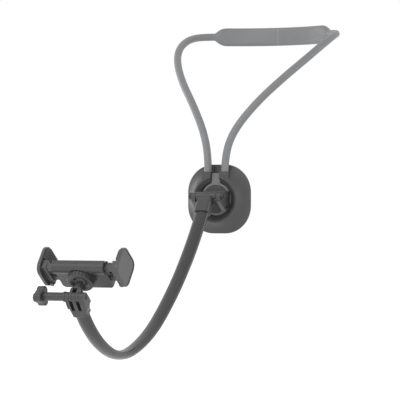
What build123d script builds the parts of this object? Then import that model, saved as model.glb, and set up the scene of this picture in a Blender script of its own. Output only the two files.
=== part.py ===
from build123d import *
import os
from math import asin, cos, degrees, pi, radians, sin, tan

# Neck-worn holder: a loop of round tube lies on the shoulders, a chest pad hangs from it,
# and a bendable arm with two hinges and a ball joint carries a spring clamp in front.
# Frame: origin at the middle of the nape pad's inner face, +Z up, -Y forward, +X to the
# right of somebody looking at the wearer. All sizes are in millimetres.

os.makedirs("parts", exist_ok=True)

# Place of the chest pad and of the clamp
hub_reach = 159.0
hub_drop = 180.0
clamp_lean = 52.0

# Fits shared by many pieces
pin_gap = 0.05
run_gap = 0.3
seat_gap = 0.1
loose_gap = 0.2

# Neck loop
loop_d = 8.0
nape_height = 20.0
nape_thick = 8.6
nape_corner = 3.9
nape_radius = 105.0
nape_half = 56.0
shoulder_length = 15.5
seam_width = 0.7
seam_depth = 0.4
loop_entry_x = 9.4
loop_entry_h = 10.5
loop_entry_depth = 6.8

# Chest pad, seen from the front and measured forward from the chest
pad_width = 71.0
pad_height = 72.0
pad_corner = 29.0
cushion_thick = 2.0
plate_thick = 2.0
plate_inset = 3.0
rim_height = 1.6
waist_height = 7.5
waist_inset = 5.5
waist_round = 0.46
boss_height = 15.6
boss_r = 24.6
dish_r = 22.6
dish_floor_r = 18.6
floor_height = 9.5
block_half = 15.0
block_top = 28.6
block_height = 15.0
notch_half = 4.9
notch_bottom = 27.0
tie_screw_place = 17.5
tie_screw_r = 1.25
tie_screw_length = 6.5
tie_head_r = 2.3
tie_head_height = 1.2

# Light ring with its tab, and the turntable inside it
ring_outer_r = 17.0
ring_inner_r = 14.6
ring_height = 12.2
tab_half = 4.7
tab_fillet = 1.6
disc_height = 12.7
spindle_r = 5.0
pocket_r = 12.0
pocket_height = 6.5
washer_r = 9.0
washer_thick = 0.9
pivot_head_r = 3.9
pivot_head_height = 1.2
pivot_r = 1.6
pivot_length = 8.0
saddle_half = 15.4
saddle_depth = 17.0
saddle_height = 16.6

# Upper hinge
hinge_height = 35.0
hinge_rise = 3.0
barrel_r = 4.4
barrel_length = 23.2
ear_thick = 4.2
ear_gap = 0.3
ear_tip_r = 3.9
ear_drop = 3.0
ear_foot_half = 8.0
ear_belly_reach = 21.5
ear_belly_drop = 8.5
ear_belly_r = 4.6
ear_hole_r = 1.9
bolt_r = 2.0
bolt_head_r = 3.5
bolt_head_length = 3.8
nut_flats = 7.0
nut_thick = 3.2

# Bendable arm: an oval sleeve whose line is a chain of tangent arcs
arm_width = 14.8
arm_depth = 9.2
arm_start_heading = -54.4
socket_start = 9.0
socket_length = 22.0
socket_width = 16.2
socket_depth = 12.2
socket_corner = 3.6
socket_seat = 11.0
arm_bends = [(430.0, 19.9), (188.0, 20.9), (88.0, 34.5), (126.0, 27.0)]
arm_straight = 27.0
ferrule_length = 21.0
flare_length = 4.5
flare_overlap = 4.0

# Lower hinge
middle_prong = 3.7
left_prong = 3.8
right_prong = 5.6
slot_width = 3.3
prong_r = 4.5
slot_depth = 12.5
fork_root = 13.5
fork_depth = 11.2
fork_seat = 14.0
nut_recess = 3.0
lower_nut_flats = 5.5
lower_nut_thick = 2.7
thumb_bolt_r = 1.5
thumb_washer_r = 4.9
thumb_washer_thick = 2.4
sleeve_r = 4.0
sleeve_length = 20.0
knob_length = 7.8
knob_hub_r = 6.6
knob_lobe_r = 4.4
knob_lobe_reach = 5.6
knob_valley_r = 1.6
knob_turn = 188.0
knob_bevel = 1.1

# Ball joint, measured along the clamp's normal from the face that the device lies on
hinge_stand = 34.5
ball_stand = 13.0
ball_r = 7.0
stem_r = 3.6
stem_disc_r = 5.4
stem_disc_near = 6.2
stem_disc_far = 8.8
liner_r = 9.4
liner_low = 5.05
liner_high = 16.4
cup_wall = 1.3
cup_high = 16.6
cup_floor = 0.9
cup_hole_r = 4.2
boss_ring_r = 13.7
boss_ring_high = 13.6
collar_wall = 1.5
collar_high = 19.5
collar_lip = 1.9
collar_mouth_r = 9.4
collar_throat_r = 6.6
collar_grips = 24
collar_grip_r = 0.55

# Clamp body
body_half = 26.5
body_low = -18.0
body_high = 13.5
plate_high = 11.0
ridge_r = 6.1
ridge_u = 9.2
ridge_high = 13.9
body_chamfer = 2.5
front_wall = 1.8
top_slope = 4.2
top_slope_depth = 4.6
end_notch = 4.5
end_notch_high = 6.0
screw_post_r = 3.0
front_high = 4.0
channel_low = -10.0
channel_high = 10.2
face_pad_thick = 1.2
face_pad_half = 21.0
face_pad_low = -8.5
face_pad_high = 8.5
shell_screw_x = 18.0
shell_screw_u = 0.0
shell_screw_r = 1.0
shell_head_r = 1.7

# Synchronising gear and racks
gear_module = 0.8
gear_teeth = 12
pressure_angle = 25.0
tooth_tip = 0.64
tooth_root = 0.85
backlash = 0.25
gear_thick = 1.3
gear_pin_r = 1.4
rack_low = 1.95
rack_high = 3.85
rack_back = 9.7
rack_inner = 14.0
rack_arm_start = 13.2
rack_arm_near = 7.5
rack_teeth = 9
rack_first = 5

# Jaws, at the opening that the photograph shows
device_width = 71.6
grip_thick = 2.6
jaw_thick = 3.6
jaw_half = 15.2
jaw_corner = 8.0
jaw_recess = 0.5
jaw_rim = 1.7
jaw_bevel = 1.1
block_inner = 33.0
block_low = -13.4
block_high = 12.6
block_front = 1.95
block_back = 11.0
rail_u_low = 6.6
rail_u_high = 11.4
rail_low = 5.4
rail_high = 10.4
rail_inner = 14.6
tongue_u_low = -9.4
tongue_u_high = -4.4
tongue_low = 5.4
tongue_high = 8.6
tongue_inner = 16.0
hook_r = 2.2
hook_x = 36.0
hook_u = -12.0
hook_low = 7.8
hook_high = 12.6
grip_back = 1.0
grip_edge = 1.2
grip_rib = 0.9
grip_rib_step = 3.2

# Places that follow from the sizes above
hub = Vector(0, -hub_reach, -hub_drop)
front_of_hub = Plane(origin=hub, x_dir=(1, 0, 0), z_dir=(0, -1, 0))
side_of_hub = Plane(origin=hub, x_dir=(0, -1, 0), z_dir=(-1, 0, 0))
upper_axis = hub + Vector(0, -hinge_height, hinge_rise)
pitch_r = gear_module * gear_teeth / 2
cup_bore_r = liner_r + loose_gap
cup_r = cup_bore_r + cup_wall
collar_bore_r = cup_r + loose_gap
collar_r = collar_bore_r + collar_wall
finger_thick = slot_width - 2 * run_gap
finger_place = (middle_prong + slot_width) / 2
fork_left = -(finger_place + slot_width / 2 + left_prong)
fork_right = finger_place + slot_width / 2 + right_prong
jaw_face = device_width / 2 + grip_thick


def at(plane, x, y, z):
    """Point given in a plane's own directions."""
    return plane.from_local_coords(Vector(x, y, z))


def along_x(radius, x_from, x_to, centre):
    """Round bar along X between two places, about a centre."""
    length = x_to - x_from
    start = Plane(origin=(x_from, centre.Y, centre.Z), x_dir=(0, 1, 0), z_dir=(1, 0, 0))
    return extrude(start * Circle(radius), amount=length)


def disc(plane, radius, low, high, x=0.0, y=0.0):
    """Round disc that stands on a plane between two heights."""
    return extrude(plane.offset(low) * Pos(x, y) * Circle(radius), amount=high - low)


def slab(plane, x_low, x_high, y_low, y_high, low, high, corner=0.0):
    """Block with rounded corners that stands on a plane between two heights."""
    wide, tall = x_high - x_low, y_high - y_low
    outline = Rectangle(wide, tall)
    if corner > 0:
        outline = RectangleRounded(wide, tall, corner)
    place = Pos((x_low + x_high) / 2, (y_low + y_high) / 2)
    return extrude(plane.offset(low) * place * outline, amount=high - low)


def bend_radii(points):
    """Largest soft bend that each corner of a route leaves room for."""
    radii = []
    for before, corner, after in zip(points, points[1:], points[2:]):
        first, second = corner - before, after - corner
        shorter = min(first.length, second.length)
        radii.append(0.45 * shorter / tan(radians(first.get_angle(second)) / 2))
    return radii


def heading(angle):
    """Direction in the middle plane: 0 is forward, 90 is up."""
    return Vector(0, -cos(radians(angle)), sin(radians(angle)))


def hexagon(flats):
    return RegularPolygon(flats / 2, 6, major_radius=False)


def arm_line():
    """Middle line of the arm, from the upper hinge axis to the lower one."""
    start = (hinge_height, hinge_rise)
    turn = radians(arm_start_heading)
    seat = (start[0] + socket_seat * cos(turn), start[1] + socket_seat * sin(turn))
    mouth = (start[0] + socket_length * cos(turn), start[1] + socket_length * sin(turn))
    line = Line(seat, mouth)
    pieces = [line]
    for radius, angle in arm_bends:
        pieces.append(JernArc(pieces[-1] @ 1, pieces[-1] % 1, radius, angle))
    last = pieces[-1]
    run = arm_straight - fork_seat
    pieces.append(Line(last @ 1, (last @ 1) + (last % 1) * run))
    end = (last @ 1) + (last % 1) * arm_straight
    final_heading = arm_start_heading + sum(angle for radius, angle in arm_bends)
    return pieces, end, final_heading


arm_pieces, arm_end, end_heading = arm_line()
lower_axis = at(side_of_hub, arm_end.X, arm_end.Y, 0)
clamp_normal = heading(-clamp_lean)
clamp_up = Vector(0, clamp_normal.Z, -clamp_normal.Y)
clamp_face = lower_axis - clamp_normal * hinge_stand
clamp = Plane(origin=clamp_face, x_dir=(1, 0, 0), z_dir=clamp_normal)
ball_centre = at(clamp, 0, 0, ball_stand)


def nape_section(width, height, corner, plane):
    return plane * RectangleRounded(width, height, corner)


def nape_pad():
    """Curved flat pad behind the neck, its ends drawn in to the tube."""
    middle_r = nape_radius + nape_thick / 2
    half_angle = asin(nape_half / middle_r)
    centre = Vector(0, -nape_radius, 0)
    out = Vector(sin(half_angle), cos(half_angle), 0)
    along = Vector(cos(half_angle), -sin(half_angle), 0)
    end = centre + out * middle_r
    face = nape_section(nape_thick, nape_height, nape_corner, Plane(end, out, -along))
    pad = revolve(face, Axis((0, -nape_radius, 0), (0, 0, 1)), degrees(2 * half_angle))
    sections = []
    for share, rise in ((0, 1.0), (0.2, 0.97), (0.45, 0.78), (0.7, 0.36), (0.87, 0.09), (1, 0)):
        height = loop_d + (nape_height - loop_d) * rise
        width = nape_thick + (loop_d - nape_thick) * share
        place = Plane(end + along * shoulder_length * share, out, along)
        sections.append(nape_section(width, height, loop_d / 2 - 0.02 - 0.08 * rise, place))
    shoulder = loft(sections)
    tip = end + along * shoulder_length
    return pad + shoulder + mirror(shoulder, about=Plane.YZ), tip, along


def loop_route(tip, along):
    """Corners of the right arm's route, from the nape pad down into the chest pad."""
    entry = hub + Vector(loop_entry_x, -loop_entry_h, 0)
    return [
        tip,
        tip + along * 13,
        hub + Vector(85.5, 108, 175.5),
        hub + Vector(84, 80, 164.5),
        hub + Vector(75, 54, 148),
        hub + Vector(57, 28, 125),
        hub + Vector(36, 9.5, 100),
        hub + Vector(17, -5.5, 71),
        entry + Vector(0, 0, 45),
        entry + Vector(0, 0, block_top - loop_entry_depth),
    ]


def neck_loop():
    pad, tip, along = nape_pad()
    route = loop_route(tip, along)
    line = FilletPolyline(*route, radius=bend_radii(route))
    start = Plane(origin=line @ 0, z_dir=line % 0)
    tube = sweep(start * Circle(loop_d / 2), path=line)
    expected = pi * loop_d ** 2 / 4 * line.length
    print("loop tube", round(tube.volume), "section times length", round(expected))
    print("loop bends", [round(radius, 1) for radius in bend_radii(route)])
    middle = Plane(origin=(-seam_width / 2, nape_thick / 2, 0), x_dir=(0, 1, 0), z_dir=(1, 0, 0))
    band = nape_section(nape_thick + 2, nape_height + 2, nape_corner, middle)
    core = nape_section(
        nape_thick - 2 * seam_depth,
        nape_height - 2 * seam_depth,
        nape_corner - seam_depth,
        middle,
    )
    seam = extrude(band - core, amount=seam_width)
    return pad + tube + mirror(tube, about=Plane.YZ) - seam


def chest_shell():
    """Bell from a rounded square rim to a round dished boss, with the loop's sockets on top."""
    base = cushion_thick
    rim = slab(
        front_of_hub, -pad_width / 2, pad_width / 2, -pad_height / 2, pad_height / 2,
        base, base + rim_height, pad_corner,
    )
    waist_width, waist_tall = pad_width - 2 * waist_inset, pad_height - 2 * waist_inset
    waist_corner = waist_round * min(waist_width, waist_tall)
    sections = [
        front_of_hub.offset(base + rim_height) * RectangleRounded(pad_width, pad_height, pad_corner),
        front_of_hub.offset(waist_height) * RectangleRounded(waist_width, waist_tall, waist_corner),
        front_of_hub.offset(boss_height) * RectangleRounded(2 * boss_r, 2 * boss_r + 0.1, boss_r - 0.1),
    ]
    shell = rim + loft(sections)
    block = slab(front_of_hub, -block_half, block_half, 12, block_top, base, block_height, 3)
    shell = fillet((shell + block).edges().filter_by_position(Axis.Y, -hub_reach - boss_height - 0.01,
                   -hub_reach - boss_height + 0.01), 0.8)
    dish = Plane(origin=hub, x_dir=(1, 0, 0), z_dir=(0, 0, 1)) * make_face(Polyline(
        (0, -floor_height),
        (dish_floor_r, -floor_height),
        (dish_floor_r, -ring_height),
        (dish_r, -boss_height),
        (dish_r, -boss_height - 3),
        (0, -boss_height - 3),
        (0, -floor_height),
    ))
    shell -= revolve(dish, Axis(hub, (0, 1, 0)), 360)
    shell -= slab(
        front_of_hub, -tab_half - seat_gap, tab_half + seat_gap, 0, notch_bottom + 1,
        floor_height, boss_height + 2,
    )
    notch_top = notch_bottom + notch_half
    shell -= disc(front_of_hub, notch_half, base + rim_height, boss_height + 2, 0, notch_top)
    shell -= slab(
        front_of_hub, -notch_half, notch_half, notch_top, pad_height,
        base + rim_height, boss_height + 2,
    )
    for side in (-1, 1):
        mouth = hub + Vector(side * loop_entry_x, -loop_entry_h, block_top + 6)
        socket = Plane(origin=mouth, z_dir=(0, 0, -1)) * Circle(loop_d / 2 + seat_gap)
        shell -= extrude(socket, amount=loop_entry_depth + 6 + seat_gap)
    plate_room = plate_inset - seat_gap
    shell -= slab(
        front_of_hub, -pad_width / 2 + plate_room, pad_width / 2 - plate_room,
        -pad_height / 2 + plate_room, pad_height / 2 - plate_room,
        base, base + plate_thick, pad_corner - plate_room,
    )
    shell -= disc(front_of_hub, pocket_r, base, pocket_height)
    shell -= disc(front_of_hub, spindle_r + pin_gap, base, boss_height)
    for x, y in tie_screw_places():
        shell -= disc(front_of_hub, tie_screw_r, base, base + tie_screw_length + 0.3, x, y)
    return shell


def tie_screw_places():
    return [(x * tie_screw_place, y * tie_screw_place) for x in (-1, 1) for y in (-1, 1)]


def back_plate():
    base = cushion_thick
    plate = slab(
        front_of_hub, -pad_width / 2 + plate_inset, pad_width / 2 - plate_inset,
        -pad_height / 2 + plate_inset, pad_height / 2 - plate_inset,
        base, base + plate_thick - seat_gap, pad_corner - plate_inset,
    )
    for x, y in tie_screw_places():
        plate -= disc(front_of_hub, tie_head_r + seat_gap, base, base + tie_head_height + seat_gap, x, y)
        plate -= disc(front_of_hub, tie_screw_r + seat_gap, base, base + plate_thick, x, y)
    return plate


def back_cushion():
    """Soft sheet that lies on the chest."""
    sheet = slab(
        front_of_hub, -pad_width / 2 + 0.6, pad_width / 2 - 0.6,
        -pad_height / 2 + 0.6, pad_height / 2 - 0.6, 0, cushion_thick, pad_corner - 0.6,
    )
    return fillet(sheet.faces().sort_by(Axis.Y)[-1].edges(), 0.9)


def screw(plane, x, y, head_low, head_high, head_r, shank_r, length):
    """Button screw with its head towards the plane and a cross recess."""
    body = disc(plane, head_r, head_low, head_high, x, y)
    body += disc(plane, shank_r, head_high, head_low + length, x, y)
    for wide, tall in ((head_r * 1.1, 0.45), (0.45, head_r * 1.1)):
        body -= slab(
            plane, x - wide / 2, x + wide / 2, y - tall / 2, y + tall / 2,
            head_low, head_low + 0.5 * (head_high - head_low),
        )
    return body


def plate_screws():
    base = cushion_thick
    screws = []
    for x, y in tie_screw_places():
        screws.append(screw(
            front_of_hub, x, y, base, base + tie_head_height, tie_head_r, tie_screw_r, tie_screw_length,
        ))
    return screws


def hub_ring():
    """Light ring round the turntable, with a tab that runs up to the notch."""
    low = floor_height
    outline = Circle(ring_outer_r)
    outline += Pos(0, notch_bottom / 2) * Rectangle(2 * tab_half, notch_bottom)
    roots = [v for v in outline.vertices() if ring_inner_r < v.Y < ring_outer_r]
    outline = fillet(roots, tab_fillet)
    outline -= Circle(ring_inner_r)
    ring = extrude(front_of_hub.offset(low) * outline, amount=ring_height - low)
    ring -= disc(front_of_hub, notch_half, low, ring_height, 0, notch_bottom + notch_half)
    return ring


def ear_outline():
    """Side outline of one hinge ear, forward along the first axis and up along the second."""
    foot = disc_height
    belly = Pos(ear_belly_reach, -ear_belly_drop)
    outline = make_hull([
        *(Pos(hinge_height, hinge_rise) * Circle(ear_tip_r)).edges(),
        *(Pos(hinge_height, hinge_rise - ear_drop) * Circle(ear_tip_r)).edges(),
        *(belly * Circle(ear_belly_r)).edges(),
        *Polyline((foot, -ear_foot_half), (foot, ear_foot_half)).edges(),
    ])
    return outline - belly * Circle(ear_hole_r)


def turntable():
    """Disc that turns in the ring and carries the two ears of the upper hinge."""
    low = floor_height + loose_gap
    table = disc(front_of_hub, ring_inner_r - run_gap, low, disc_height)
    table = chamfer(table.edges().sort_by(Axis.Y)[0], 0.5)
    table += slab(
        front_of_hub, -saddle_half, saddle_half, -saddle_depth / 2, saddle_depth / 2,
        disc_height, saddle_height, 3.5,
    )
    table = fillet(table.edges().sort_by(Axis.Y)[0:8], 1.0)
    inner = barrel_length / 2 + ear_gap
    for side in (-1, 1):
        start = side * inner if side > 0 else -inner - ear_thick
        sheet = Plane(origin=hub + Vector(start + ear_thick, 0, 0), x_dir=(0, -1, 0), z_dir=(-1, 0, 0))
        table += extrude(sheet * ear_outline(), amount=ear_thick)
    table += disc(front_of_hub, spindle_r, pocket_height + seat_gap, low)
    table -= disc(front_of_hub, pivot_r, 0, low + pivot_length)
    table -= along_x(bolt_r + pin_gap, -40, 40, upper_axis)
    return table


def friction_washer():
    high = pocket_height
    return disc(front_of_hub, washer_r, high - washer_thick, high) - disc(
        front_of_hub, pivot_r + seat_gap, 0, boss_height)


def pivot_screw():
    high = pocket_height - washer_thick
    low = high - pivot_head_height
    return screw(front_of_hub, 0, 0, low, high, pivot_head_r, pivot_r, pivot_head_height + pivot_length)


def hinge_bolt():
    """Socket-head bolt through the ears and the barrel."""
    outside = barrel_length / 2 + ear_gap + ear_thick
    bolt = along_x(bolt_r, -outside, outside + nut_thick + 0.6, upper_axis)
    head = along_x(bolt_head_r, -outside - bolt_head_length, -outside, upper_axis)
    head = fillet(head.edges().sort_by(Axis.X)[0], 0.5)
    key = Plane(origin=(-outside - bolt_head_length, upper_axis.Y, upper_axis.Z),
                x_dir=(0, 1, 0), z_dir=(1, 0, 0))
    return bolt + head - extrude(key * hexagon(4.0), amount=2.2)


def hex_nut(x_from, thick, centre, flats, bore_r):
    plane = Plane(origin=(x_from, centre.Y, centre.Z), x_dir=(0, 1, 0), z_dir=(1, 0, 0))
    nut = extrude(plane * hexagon(flats), amount=thick)
    return nut - along_x(bore_r, x_from - 1, x_from + thick + 1, centre)


def hinge_nut():
    outside = barrel_length / 2 + ear_gap + ear_thick
    return hex_nut(outside, nut_thick, upper_axis, nut_flats, bolt_r + pin_gap)


def arm_socket(axis_point, direction, low, high, seat_start):
    """Rounded block that the oval arm is glued into."""
    plane = Plane(origin=axis_point, x_dir=(1, 0, 0), z_dir=direction)
    body = slab(
        plane, -socket_width / 2, socket_width / 2, -socket_depth / 2, socket_depth / 2,
        low, high, socket_corner,
    )
    body = fillet(body.faces().sort_by(Axis(axis_point, direction))[-1].edges(), 0.7)
    seat = plane.offset(seat_start - seat_gap) * Ellipse(
        arm_width / 2 + seat_gap, arm_depth / 2 + seat_gap)
    return body, extrude(seat, amount=high)


def arm_head():
    """T-shaped upper end of the arm: a cross barrel and the socket under it."""
    direction = heading(arm_start_heading)
    plane = Plane(origin=upper_axis, x_dir=(1, 0, 0), z_dir=direction)
    barrel = along_x(barrel_r, -barrel_length / 2, barrel_length / 2, upper_axis)
    barrel = chamfer(barrel.edges().filter_by(GeomType.CIRCLE), 0.4)
    neck = loft([
        plane * RectangleRounded(socket_width - 2.4, 2 * barrel_r - 1.2, 2.4),
        plane.offset(socket_start) * RectangleRounded(socket_width, socket_depth, socket_corner),
    ])
    body, seat = arm_socket(upper_axis, direction, socket_start, socket_length, socket_seat)
    head = barrel + neck + body - seat
    return head - along_x(bolt_r + pin_gap, -40, 40, upper_axis)


def gooseneck():
    """Oval bendable arm, one smooth sleeve along straight ends and tangent arcs."""
    line = side_of_hub * Wire([piece.edge() for piece in arm_pieces])
    start = Plane(origin=line @ 0, x_dir=(1, 0, 0), z_dir=line % 0)
    sleeve = sweep(start * Ellipse(arm_width / 2, arm_depth / 2), path=line)
    expected = pi * arm_width * arm_depth / 4 * line.length
    print("arm sleeve", round(sleeve.volume), "section times length", round(expected))
    return sleeve


def arm_fork():
    """Lower end of the arm: socket, flare and three prongs with a nut seat on the right."""
    back = heading(end_heading + 180)
    plane = Plane(origin=lower_axis, x_dir=(1, 0, 0), z_dir=back)
    body, seat = arm_socket(lower_axis, back, fork_root + flare_length, ferrule_length, fork_seat)
    middle = (fork_left + fork_right) / 2
    width = fork_right - fork_left
    flare = loft([
        plane.offset(fork_root - flare_overlap) * Pos(middle, 0) * RectangleRounded(width, fork_depth, 2.6),
        plane.offset(fork_root + flare_length) * RectangleRounded(socket_width, socket_depth, socket_corner),
    ])
    side = Plane(origin=lower_axis + Vector(fork_left, 0, 0), x_dir=back, z_dir=(1, 0, 0))
    outline = make_hull([
        *Circle(prong_r).edges(),
        *(Pos(fork_root - flare_overlap - 1, 0) * Rectangle(4, fork_depth)).edges(),
    ])
    prongs = extrude(side * outline, amount=width)
    fork = prongs + flare + body - seat
    for sign in (-1, 1):
        centre = sign * finger_place
        fork -= slab(
            plane, centre - slot_width / 2, centre + slot_width / 2, -20, 20,
            -prong_r - 1, slot_depth,
        )
    fork -= along_x(thumb_bolt_r + pin_gap, -40, 40, lower_axis)
    recess = Plane(origin=(fork_right - nut_recess, lower_axis.Y, lower_axis.Z),
                   x_dir=(0, 1, 0), z_dir=(1, 0, 0))
    return fork - extrude(recess * hexagon(lower_nut_flats + 2 * seat_gap), amount=nut_recess + 1)


def fork_nut():
    """Hex nut let into the right prong."""
    start = fork_right - nut_recess
    return hex_nut(start, lower_nut_thick, lower_axis, lower_nut_flats, thumb_bolt_r + pin_gap)


def knob_section():
    section = Circle(knob_hub_r)
    lobe = Pos(knob_lobe_reach, 0) * Circle(knob_lobe_r)
    for turn in (0, 120, 240):
        section += Rot(0, 0, turn) * lobe
    corners = [v for v in section.vertices() if abs(Vector(v).length - knob_hub_r) < 0.01]
    return Rot(0, 0, knob_turn) * fillet(corners, knob_valley_r)


def sleeve_end():
    return fork_left - seat_gap - thumb_washer_thick


def thumb_knob():
    """Three-lobed knob with its long sleeve, moulded in one."""
    far = sleeve_end()
    near = far - sleeve_length
    knob_plane = Plane(origin=(near - knob_length, lower_axis.Y, lower_axis.Z),
                       x_dir=(0, 1, 0), z_dir=(1, 0, 0))
    knob = extrude(knob_plane * knob_section(), amount=knob_length)
    ends = knob.faces().sort_by(Axis.X)
    knob = fillet(ends[0].edges() + ends[-1].edges(), knob_bevel)
    sleeve = along_x(sleeve_r, near - 1, far, lower_axis)
    return knob + sleeve - along_x(thumb_bolt_r + pin_gap, near - knob_length + 1.6, far + 1, lower_axis)


def thumb_bolt():
    near = sleeve_end() - sleeve_length - knob_length + 1.8
    return along_x(thumb_bolt_r, near, fork_right - 0.4, lower_axis)


def thumb_washer():
    far = fork_left - seat_gap
    ring = along_x(thumb_washer_r, far - thumb_washer_thick + seat_gap, far, lower_axis)
    ring = fillet(ring.edges().filter_by(GeomType.CIRCLE), 0.5)
    return ring - along_x(thumb_bolt_r + pin_gap, -40, 40, lower_axis)


def ball_stem():
    """Ball, neck and two flat fingers, moulded in one."""
    to_hinge = hinge_stand
    fingers = []
    stem = disc(clamp, stem_disc_r, to_hinge - stem_disc_far, to_hinge - stem_disc_near)
    for sign in (-1, 1):
        start = lower_axis + Vector(sign * finger_place - finger_thick / 2, 0, 0)
        plane = Plane(origin=start, x_dir=-clamp_normal, z_dir=(1, 0, 0))
        outline = make_hull([
            *Circle(prong_r).edges(),
            *(Pos(stem_disc_near + 0.5, 0) * Rectangle(1, 2 * prong_r)).edges(),
        ])
        fingers.append(extrude(plane * outline, amount=finger_thick))
    for finger in fingers:
        stem += finger
    stem += disc(clamp, stem_r, ball_stand, to_hinge - stem_disc_near - 0.5)
    stem += Pos(ball_centre) * Sphere(ball_r)
    return stem - along_x(thumb_bolt_r + pin_gap, -40, 40, lower_axis)


def turned(points):
    """Solid of revolution about the ball joint's line, from radius and height pairs."""
    plane = Plane(origin=clamp.origin, x_dir=(1, 0, 0), z_dir=-clamp_up)
    face = plane * make_face(Polyline(*points, points[0]))
    return revolve(face, Axis(clamp.origin, clamp_normal), 360)


def ball_liner():
    """Slippery ring between the ball and the cup."""
    ring = turned([(0, liner_low), (liner_r, liner_low), (liner_r, liner_high), (0, liner_high)])
    return ring - Pos(ball_centre) * Sphere(ball_r + run_gap)


def lock_collar():
    """Ring nut that squeezes the cup on the ball."""
    low = boss_ring_high + run_gap
    body = turned([
        (collar_throat_r, collar_high - collar_lip),
        (collar_bore_r, collar_high - collar_lip),
        (collar_bore_r, low),
        (collar_r, low),
        (collar_r, collar_high - 0.9),
        (collar_r - 0.9, collar_high),
        (collar_mouth_r, collar_high),
    ])
    for index in range(collar_grips):
        angle = 2 * pi * index / collar_grips
        body -= disc(
            clamp, collar_grip_r, low - 0.1, collar_high + 0.1,
            collar_r * cos(angle), collar_r * sin(angle),
        )
    return body


def body_outline(low, high):
    """Front outline of the clamp body with its lower corners cut off."""
    outline = make_face(Polyline(
        (-body_half, body_high),
        (body_half, body_high),
        (body_half, body_low + body_chamfer),
        (body_half - body_chamfer, body_low),
        (-body_half + body_chamfer, body_low),
        (-body_half, body_low + body_chamfer),
        (-body_half, body_high),
    ))
    return extrude(clamp.offset(low) * outline, amount=high - low)


def body_cuts():
    """Slope along the top front edge, and a notch between rail and tongue at each end."""
    side = Plane(origin=at(clamp, -body_half - 1, 0, 0), x_dir=clamp_up, z_dir=(1, 0, 0))
    wedge = side * make_face(Polyline(
        (body_high - top_slope, -0.001),
        (body_high + 1, top_slope_depth * (top_slope + 1) / top_slope),
        (body_high + 1, -0.001),
        (body_high - top_slope, -0.001),
    ))
    cuts = extrude(wedge, amount=2 * body_half + 2)
    for start, end in ((-body_half - 1, -body_half + end_notch), (body_half - end_notch, body_half + 1)):
        cuts += slab(clamp, start, end, tongue_u_high + loose_gap, rail_u_low - loose_gap, -1, end_notch_high)
    return cuts


def clamp_back_shell():
    """Back of the clamp: flat plate, half-round ridge, cup and the ways for both jaws."""
    low = front_high + 0.05
    shell = body_outline(low, plate_high)
    shell = fillet(shell.faces().sort_by(Axis(clamp_face, clamp_normal))[-1].edges(), 0.8)
    ridge_side = Plane(origin=at(clamp, -body_half, 0, 0), x_dir=clamp_up, z_dir=(1, 0, 0))
    centre = ridge_high - ridge_r
    ridge = Pos(ridge_u, centre) * Circle(ridge_r)
    ridge += Pos(ridge_u, (low + centre) / 2) * Rectangle(2 * ridge_r, centre - low)
    ridge = extrude(ridge_side * ridge, amount=2 * body_half)
    shell += ridge - slab(clamp, -40, 40, -40, 40, -10, low)
    shell += disc(clamp, boss_ring_r, low, boss_ring_high)
    shell += disc(clamp, cup_r, low, cup_high)
    shell -= disc(clamp, cup_bore_r, low + cup_floor, cup_high + 1)
    shell -= disc(clamp, cup_hole_r, low - 1, low + cup_floor + 1)
    for side in (-1, 1):
        for inner, u_low, u_high, z_low, z_high in jaw_ways():
            edge = sorted((side * (inner - 4.3), side * (body_half + 1)))
            gap = loose_gap
            shell -= slab(
                clamp, edge[0], edge[1], u_low - gap, u_high + gap, z_low - gap, z_high + gap,
            )
    for x in (-shell_screw_x, shell_screw_x):
        shell -= disc(clamp, shell_screw_r, low, low + 6, x, shell_screw_u)
    return shell - body_cuts()


def jaw_ways():
    """Inner end and section of the rail and of the lower tongue."""
    return [
        (rail_inner, rail_u_low, rail_u_high, rail_low, rail_high),
        (tongue_inner, tongue_u_low, tongue_u_high, tongue_low, tongue_high),
    ]


def clamp_front_shell():
    """Front of the clamp, with the channel for the racks and the gear's pin."""
    shell = body_outline(0, front_high)
    shell = fillet(shell.faces().sort_by(Axis(clamp_face, clamp_normal))[0].edges(), 0.6)
    shell -= slab(clamp, -40, 40, channel_low, channel_high, front_wall, front_high + 1)
    shell += disc(clamp, gear_pin_r, front_wall - 0.5, front_high)
    for x in (-shell_screw_x, shell_screw_x):
        shell += disc(clamp, screw_post_r, front_wall - 0.5, front_high, x, shell_screw_u)
        shell -= disc(clamp, shell_head_r + seat_gap, -1, 1.2, x, shell_screw_u)
        shell -= disc(clamp, shell_screw_r + seat_gap, 0, front_high + 1, x, shell_screw_u)
    return shell - body_cuts()


def shell_screws():
    screws = []
    for x in (-shell_screw_x, shell_screw_x):
        screws.append(screw(clamp, x, shell_screw_u, 0.1, 1.2, shell_head_r, shell_screw_r, 9.2))
    return screws


def face_pad():
    """Ribbed rubber pad that the device's back lies on."""
    pad = slab(
        clamp, -face_pad_half, face_pad_half, face_pad_low, face_pad_high,
        -face_pad_thick, 0, 3,
    )
    ribs = int((face_pad_high - face_pad_low - 4) / grip_rib_step)
    for index in range(ribs + 1):
        u = face_pad_low + 2 + index * grip_rib_step
        pad -= slab(clamp, -face_pad_half + 2, face_pad_half - 2, u, u + grip_rib,
                    -face_pad_thick - 0.1, -face_pad_thick + 0.35)
    return pad


def involute_point(base_r, roll, turn):
    x = base_r * (cos(roll) + roll * sin(roll))
    y = base_r * (sin(roll) - roll * cos(roll))
    return (x * cos(turn) - y * sin(turn), x * sin(turn) + y * cos(turn))


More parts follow.
